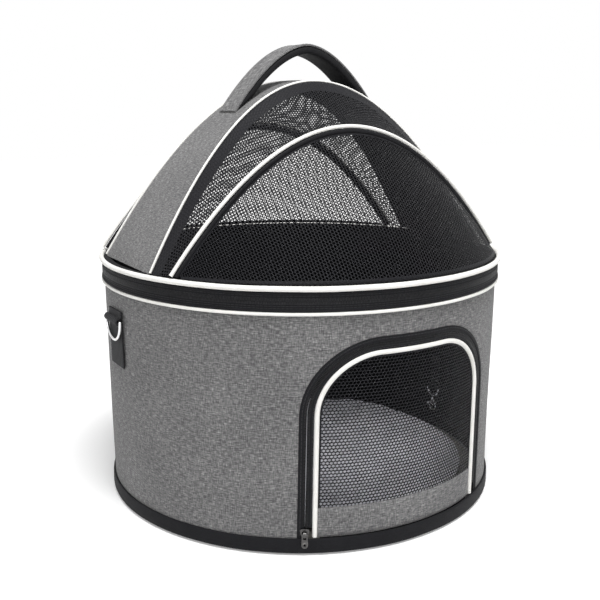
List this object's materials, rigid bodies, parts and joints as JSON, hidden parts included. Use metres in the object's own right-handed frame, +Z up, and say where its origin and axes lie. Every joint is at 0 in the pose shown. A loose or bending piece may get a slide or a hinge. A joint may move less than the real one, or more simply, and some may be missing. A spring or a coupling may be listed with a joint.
{
  "type": "domed pet carrier pod",
  "caption": "Round padded pet carrier pod of a stroller, with a zipped mesh dome on wire hoops, a fold-down mesh door, a carry handle and side rings.",
  "frame": {"origin": "centre of the base panel's lower face, on the surface it stands on", "axes": "+Z up; the door faces -Y and the carry handle runs along X"},
  "size_m": [0.4634, 0.462, 0.4988],
  "materials": {
    "heather": "heather grey woven cloth on foam",
    "black_tape": "black woven tape",
    "lining": "black lining cloth",
    "mesh": "black open hexagon mesh",
    "webbing": "black ribbed webbing",
    "piping": "off-white satin piping",
    "coil": "black nylon coil",
    "steel": "drawn spring wire",
    "board": "stiff board",
    "plush": "short grey plush",
    "chrome": "plated",
    "dark_metal": "black nickel"
  },
  "bodies": {
    "tub": {"base_cover": "heather", "base_binding": "black_tape", "base_wire": "steel", "floor_board": "board", "cushion_pad": "plush", "side_wall": "heather", "wall_lining": "lining", "door_frame_tape": "black_tape", "door_frame_coil": "coil", "tub_rim_hem": "lining", "tub_rim_wire": "steel", "tub_rim_piping": "piping", "tub_zip_tape": "black_tape", "tub_zip_coil": "coil", "base_zip_tape": "black_tape", "base_zip_coil": "coil", "grommets": "chrome", "webbing_left": "webbing", "webbing_right": "webbing", "tether_strap": "webbing"},
    "dome": {"dome_rim_piping": "piping", "dome_rim_hem": "lining", "dome_rim_wire": "steel", "dome_zip_tape": "black_tape", "dome_zip_coil": "coil", "centre_band": "heather", "band_lining": "lining", "band_piping_front": "piping", "band_piping_back": "piping", "hoop_piping_front": "piping", "hoop_piping_back": "piping", "hoop_sleeve_front": "black_tape", "hoop_sleeve_back": "black_tape", "hoop_wires": "steel", "mesh_lower_front": "mesh", "mesh_lower_back": "mesh", "mesh_upper_front": "mesh", "mesh_upper_back": "mesh", "handle_pad": "black_tape", "handle_cover": "heather"},
    "door": {"door_mesh": "mesh", "door_sill": "heather", "door_piping": "piping", "door_edge_tape": "black_tape", "door_edge_coil": "coil"},
    "clip": {"tether_clip": "chrome"},
    "gate": {"tether_gate": "chrome"},
    "rim_slider_left": {"rim_slider_left": "dark_metal"},
    "rim_slider_right": {"rim_slider_right": "dark_metal"},
    "rim_pull_left": {"rim_pull_left": "dark_metal"},
    "rim_pull_right": {"rim_pull_right": "dark_metal"},
    "base_slider_left": {"base_slider_left": "dark_metal"},
    "base_slider_right": {"base_slider_right": "dark_metal"},
    "base_pull_left": {"base_pull_left": "dark_metal"},
    "base_pull_right": {"base_pull_right": "dark_metal"},
    "door_slider": {"door_slider": "dark_metal"},
    "door_pull": {"door_pull": "dark_metal"},
    "d_ring_left": {"d_ring_left": "chrome"},
    "d_ring_right": {"d_ring_right": "chrome"}
  },
  "joints": [
    {"name": "dome_open", "type": "hinge", "parent": "tub", "child": "dome", "pos_m": [0, -0.2268, 0.251], "axis": [1, 0, 0], "range_deg": [0, 115]},
    {"name": "door_fold", "type": "hinge", "parent": "tub", "child": "door", "pos_m": [0, -0.21796, 0.0163], "axis": [1, 0, 0], "range_deg": [0, 92]},
    {"name": "rim_slide_left", "type": "hinge", "parent": "tub", "child": "rim_slider_left", "pos_m": [0, 0, 0.251], "axis": [0, 0, 1], "range_deg": [0, 150]},
    {"name": "rim_pull_swing_left", "type": "hinge", "parent": "rim_slider_left", "child": "rim_pull_left", "pos_m": [-0.00869, 0.23004, 0.251], "axis": [0, 0, -1], "range_deg": [0, 170]},
    {"name": "base_slide_left", "type": "hinge", "parent": "tub", "child": "base_slider_left", "pos_m": [0, 0, 0.0095], "axis": [0, 0, 1], "range_deg": [0, 20]},
    {"name": "base_pull_swing_left", "type": "hinge", "parent": "base_slider_left", "child": "base_pull_left", "pos_m": [-0.00869, 0.22578, 0.0095], "axis": [0, 0, -1], "range_deg": [0, 170]},
    {"name": "rim_slide_right", "type": "hinge", "parent": "tub", "child": "rim_slider_right", "pos_m": [0, 0, 0.251], "axis": [0, 0, -1], "range_deg": [0, 150]},
    {"name": "rim_pull_swing_right", "type": "hinge", "parent": "rim_slider_right", "child": "rim_pull_right", "pos_m": [0.00869, 0.23004, 0.251], "axis": [0, 0, 1], "range_deg": [0, 170]},
    {"name": "base_slide_right", "type": "hinge", "parent": "tub", "child": "base_slider_right", "pos_m": [0, 0, 0.0095], "axis": [0, 0, -1], "range_deg": [0, 20]},
    {"name": "base_pull_swing_right", "type": "hinge", "parent": "base_slider_right", "child": "base_pull_right", "pos_m": [0.00869, 0.22578, 0.0095], "axis": [0, 0, 1], "range_deg": [0, 170]},
    {"name": "door_slide", "type": "slide", "parent": "tub", "child": "door_slider", "axis": [0, -0.0344, 0.9994], "range_m": [0, 0.1]},
    {"name": "door_pull_swing", "type": "hinge", "parent": "door_slider", "child": "door_pull", "pos_m": [-0.10794, -0.19241, 0.02165], "axis": [-0.8721, 0.4893, 0], "range_deg": [0, 170]},
    {"name": "d_ring_swing_left", "type": "hinge", "parent": "tub", "child": "d_ring_left", "pos_m": [-0.22762, 0, 0.208], "axis": [0, 1, 0], "range_deg": [0, 110]},
    {"name": "d_ring_swing_right", "type": "hinge", "parent": "tub", "child": "d_ring_right", "pos_m": [0.22762, 0, 0.208], "axis": [0, -1, 0], "range_deg": [0, 110]},
    {"name": "tether_clip_swing", "type": "hinge", "parent": "tub", "child": "clip", "pos_m": [0.20875, 0.00729, 0.06], "axis": [-0.0349, 0.9994, 0], "range_deg": [0, 100]},
    {"name": "clip_gate_swing", "type": "hinge", "parent": "clip", "child": "gate", "pos_m": [0.2079, 0.01297, 0.03837], "axis": [-0.9989, -0.0349, 0.03], "range_deg": [0, 30]}
  ]
}
